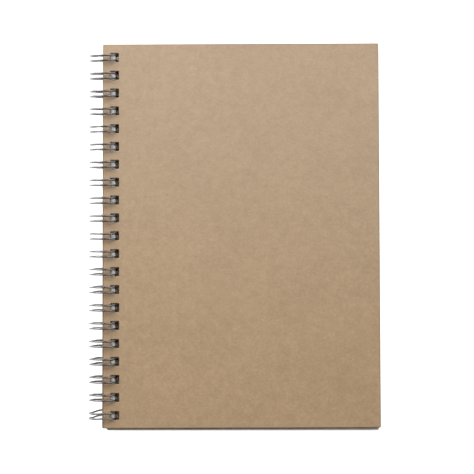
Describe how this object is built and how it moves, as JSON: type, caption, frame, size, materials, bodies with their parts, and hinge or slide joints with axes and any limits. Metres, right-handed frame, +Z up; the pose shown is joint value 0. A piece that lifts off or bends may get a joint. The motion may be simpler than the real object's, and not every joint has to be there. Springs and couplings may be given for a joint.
{
  "type": "wire-bound sketchbook",
  "caption": "Pocket sketchbook: plain kraft board covers and blank white leaves that turn on a silver twin-loop binding wire along the spine.",
  "frame": {"origin": "middle of the bounding box's underside, on the table that the book rests on", "axes": "+Z up, +X from the spine to the fore-edge, +Y along the spine to the head of the book; closed, lying on its back cover, leaning 1.4 degrees about Y because the wire loops stand out further than the back cover"},
  "size_m": [0.1372, 0.1824, 0.0141],
  "materials": {
    "kraft_board": "uncoated brown kraft board, matte",
    "drawing_paper": "uncoated white drawing paper, matte",
    "steel_wire": "silver-coated round wire, satin"
  },
  "bodies": {
    "base": {"back_cover": "kraft_board", "twin_loop_wire": "steel_wire"},
    "leaf_24": {"leaf_24": "drawing_paper"},
    "leaf_23": {"leaf_23": "drawing_paper"},
    "leaf_22": {"leaf_22": "drawing_paper"},
    "leaf_21": {"leaf_21": "drawing_paper"},
    "leaf_20": {"leaf_20": "drawing_paper"},
    "leaf_19": {"leaf_19": "drawing_paper"},
    "leaf_18": {"leaf_18": "drawing_paper"},
    "leaf_17": {"leaf_17": "drawing_paper"},
    "leaf_16": {"leaf_16": "drawing_paper"},
    "leaf_15": {"leaf_15": "drawing_paper"},
    "leaf_14": {"leaf_14": "drawing_paper"},
    "leaf_13": {"leaf_13": "drawing_paper"},
    "leaf_12": {"leaf_12": "drawing_paper"},
    "leaf_11": {"leaf_11": "drawing_paper"},
    "leaf_10": {"leaf_10": "drawing_paper"},
    "leaf_09": {"leaf_09": "drawing_paper"},
    "leaf_08": {"leaf_08": "drawing_paper"},
    "leaf_07": {"leaf_07": "drawing_paper"},
    "leaf_06": {"leaf_06": "drawing_paper"},
    "leaf_05": {"leaf_05": "drawing_paper"},
    "leaf_04": {"leaf_04": "drawing_paper"},
    "leaf_03": {"leaf_03": "drawing_paper"},
    "leaf_02": {"leaf_02": "drawing_paper"},
    "leaf_01": {"leaf_01": "drawing_paper"},
    "front_cover": {"front_cover": "kraft_board"}
  },
  "joints": [
    {"name": "leaf_24_turn", "type": "hinge", "parent": "base", "child": "leaf_24", "pos_m": [-0.06154, 0.0003, 0.00704], "axis": [0, -1, 0], "range_deg": [0, 180]},
    {"name": "leaf_23_turn", "type": "hinge", "parent": "leaf_24", "child": "leaf_23", "pos_m": [-0.06154, 0.0003, 0.00704], "axis": [0, -1, 0], "range_deg": [0, 180]},
    {"name": "leaf_22_turn", "type": "hinge", "parent": "leaf_23", "child": "leaf_22", "pos_m": [-0.06154, 0.0003, 0.00704], "axis": [0, -1, 0], "range_deg": [0, 180]},
    {"name": "leaf_21_turn", "type": "hinge", "parent": "leaf_22", "child": "leaf_21", "pos_m": [-0.06154, 0.0003, 0.00704], "axis": [0, -1, 0], "range_deg": [0, 180]},
    {"name": "leaf_20_turn", "type": "hinge", "parent": "leaf_21", "child": "leaf_20", "pos_m": [-0.06154, 0.0003, 0.00704], "axis": [0, -1, 0], "range_deg": [0, 180]},
    {"name": "leaf_19_turn", "type": "hinge", "parent": "leaf_20", "child": "leaf_19", "pos_m": [-0.06154, 0.0003, 0.00704], "axis": [0, -1, 0], "range_deg": [0, 180]},
    {"name": "leaf_18_turn", "type": "hinge", "parent": "leaf_19", "child": "leaf_18", "pos_m": [-0.06154, 0.0003, 0.00704], "axis": [0, -1, 0], "range_deg": [0, 180]},
    {"name": "leaf_17_turn", "type": "hinge", "parent": "leaf_18", "child": "leaf_17", "pos_m": [-0.06154, 0.0003, 0.00704], "axis": [0, -1, 0], "range_deg": [0, 180]},
    {"name": "leaf_16_turn", "type": "hinge", "parent": "leaf_17", "child": "leaf_16", "pos_m": [-0.06154, 0.0003, 0.00704], "axis": [0, -1, 0], "range_deg": [0, 180]},
    {"name": "leaf_15_turn", "type": "hinge", "parent": "leaf_16", "child": "leaf_15", "pos_m": [-0.06154, 0.0003, 0.00704], "axis": [0, -1, 0], "range_deg": [0, 180]},
    {"name": "leaf_14_turn", "type": "hinge", "parent": "leaf_15", "child": "leaf_14", "pos_m": [-0.06154, 0.0003, 0.00704], "axis": [0, -1, 0], "range_deg": [0, 180]},
    {"name": "leaf_13_turn", "type": "hinge", "parent": "leaf_14", "child": "leaf_13", "pos_m": [-0.06154, 0.0003, 0.00704], "axis": [0, -1, 0], "range_deg": [0, 180]},
    {"name": "leaf_12_turn", "type": "hinge", "parent": "leaf_13", "child": "leaf_12", "pos_m": [-0.06154, 0.0003, 0.00704], "axis": [0, -1, 0], "range_deg": [0, 180]},
    {"name": "leaf_11_turn", "type": "hinge", "parent": "leaf_12", "child": "leaf_11", "pos_m": [-0.06154, 0.0003, 0.00704], "axis": [0, -1, 0], "range_deg": [0, 180]},
    {"name": "leaf_10_turn", "type": "hinge", "parent": "leaf_11", "child": "leaf_10", "pos_m": [-0.06154, 0.0003, 0.00704], "axis": [0, -1, 0], "range_deg": [0, 180]},
    {"name": "leaf_09_turn", "type": "hinge", "parent": "leaf_10", "child": "leaf_09", "pos_m": [-0.06154, 0.0003, 0.00704], "axis": [0, -1, 0], "range_deg": [0, 180]},
    {"name": "leaf_08_turn", "type": "hinge", "parent": "leaf_09", "child": "leaf_08", "pos_m": [-0.06154, 0.0003, 0.00704], "axis": [0, -1, 0], "range_deg": [0, 180]},
    {"name": "leaf_07_turn", "type": "hinge", "parent": "leaf_08", "child": "leaf_07", "pos_m": [-0.06154, 0.0003, 0.00704], "axis": [0, -1, 0], "range_deg": [0, 180]},
    {"name": "leaf_06_turn", "type": "hinge", "parent": "leaf_07", "child": "leaf_06", "pos_m": [-0.06154, 0.0003, 0.00704], "axis": [0, -1, 0], "range_deg": [0, 180]},
    {"name": "leaf_05_turn", "type": "hinge", "parent": "leaf_06", "child": "leaf_05", "pos_m": [-0.06154, 0.0003, 0.00704], "axis": [0, -1, 0], "range_deg": [0, 180]},
    {"name": "leaf_04_turn", "type": "hinge", "parent": "leaf_05", "child": "leaf_04", "pos_m": [-0.06154, 0.0003, 0.00704], "axis": [0, -1, 0], "range_deg": [0, 180]},
    {"name": "leaf_03_turn", "type": "hinge", "parent": "leaf_04", "child": "leaf_03", "pos_m": [-0.06154, 0.0003, 0.00704], "axis": [0, -1, 0], "range_deg": [0, 180]},
    {"name": "leaf_02_turn", "type": "hinge", "parent": "leaf_03", "child": "leaf_02", "pos_m": [-0.06154, 0.0003, 0.00704], "axis": [0, -1, 0], "range_deg": [0, 180]},
    {"name": "leaf_01_turn", "type": "hinge", "parent": "leaf_02", "child": "leaf_01", "pos_m": [-0.06154, 0.0003, 0.00704], "axis": [0, -1, 0], "range_deg": [0, 180]},
    {"name": "front_cover_turn", "type": "hinge", "parent": "leaf_01", "child": "front_cover", "pos_m": [-0.06154, 0.0003, 0.00704], "axis": [0, -1, 0], "range_deg": [0, 182.7]}
  ]
}
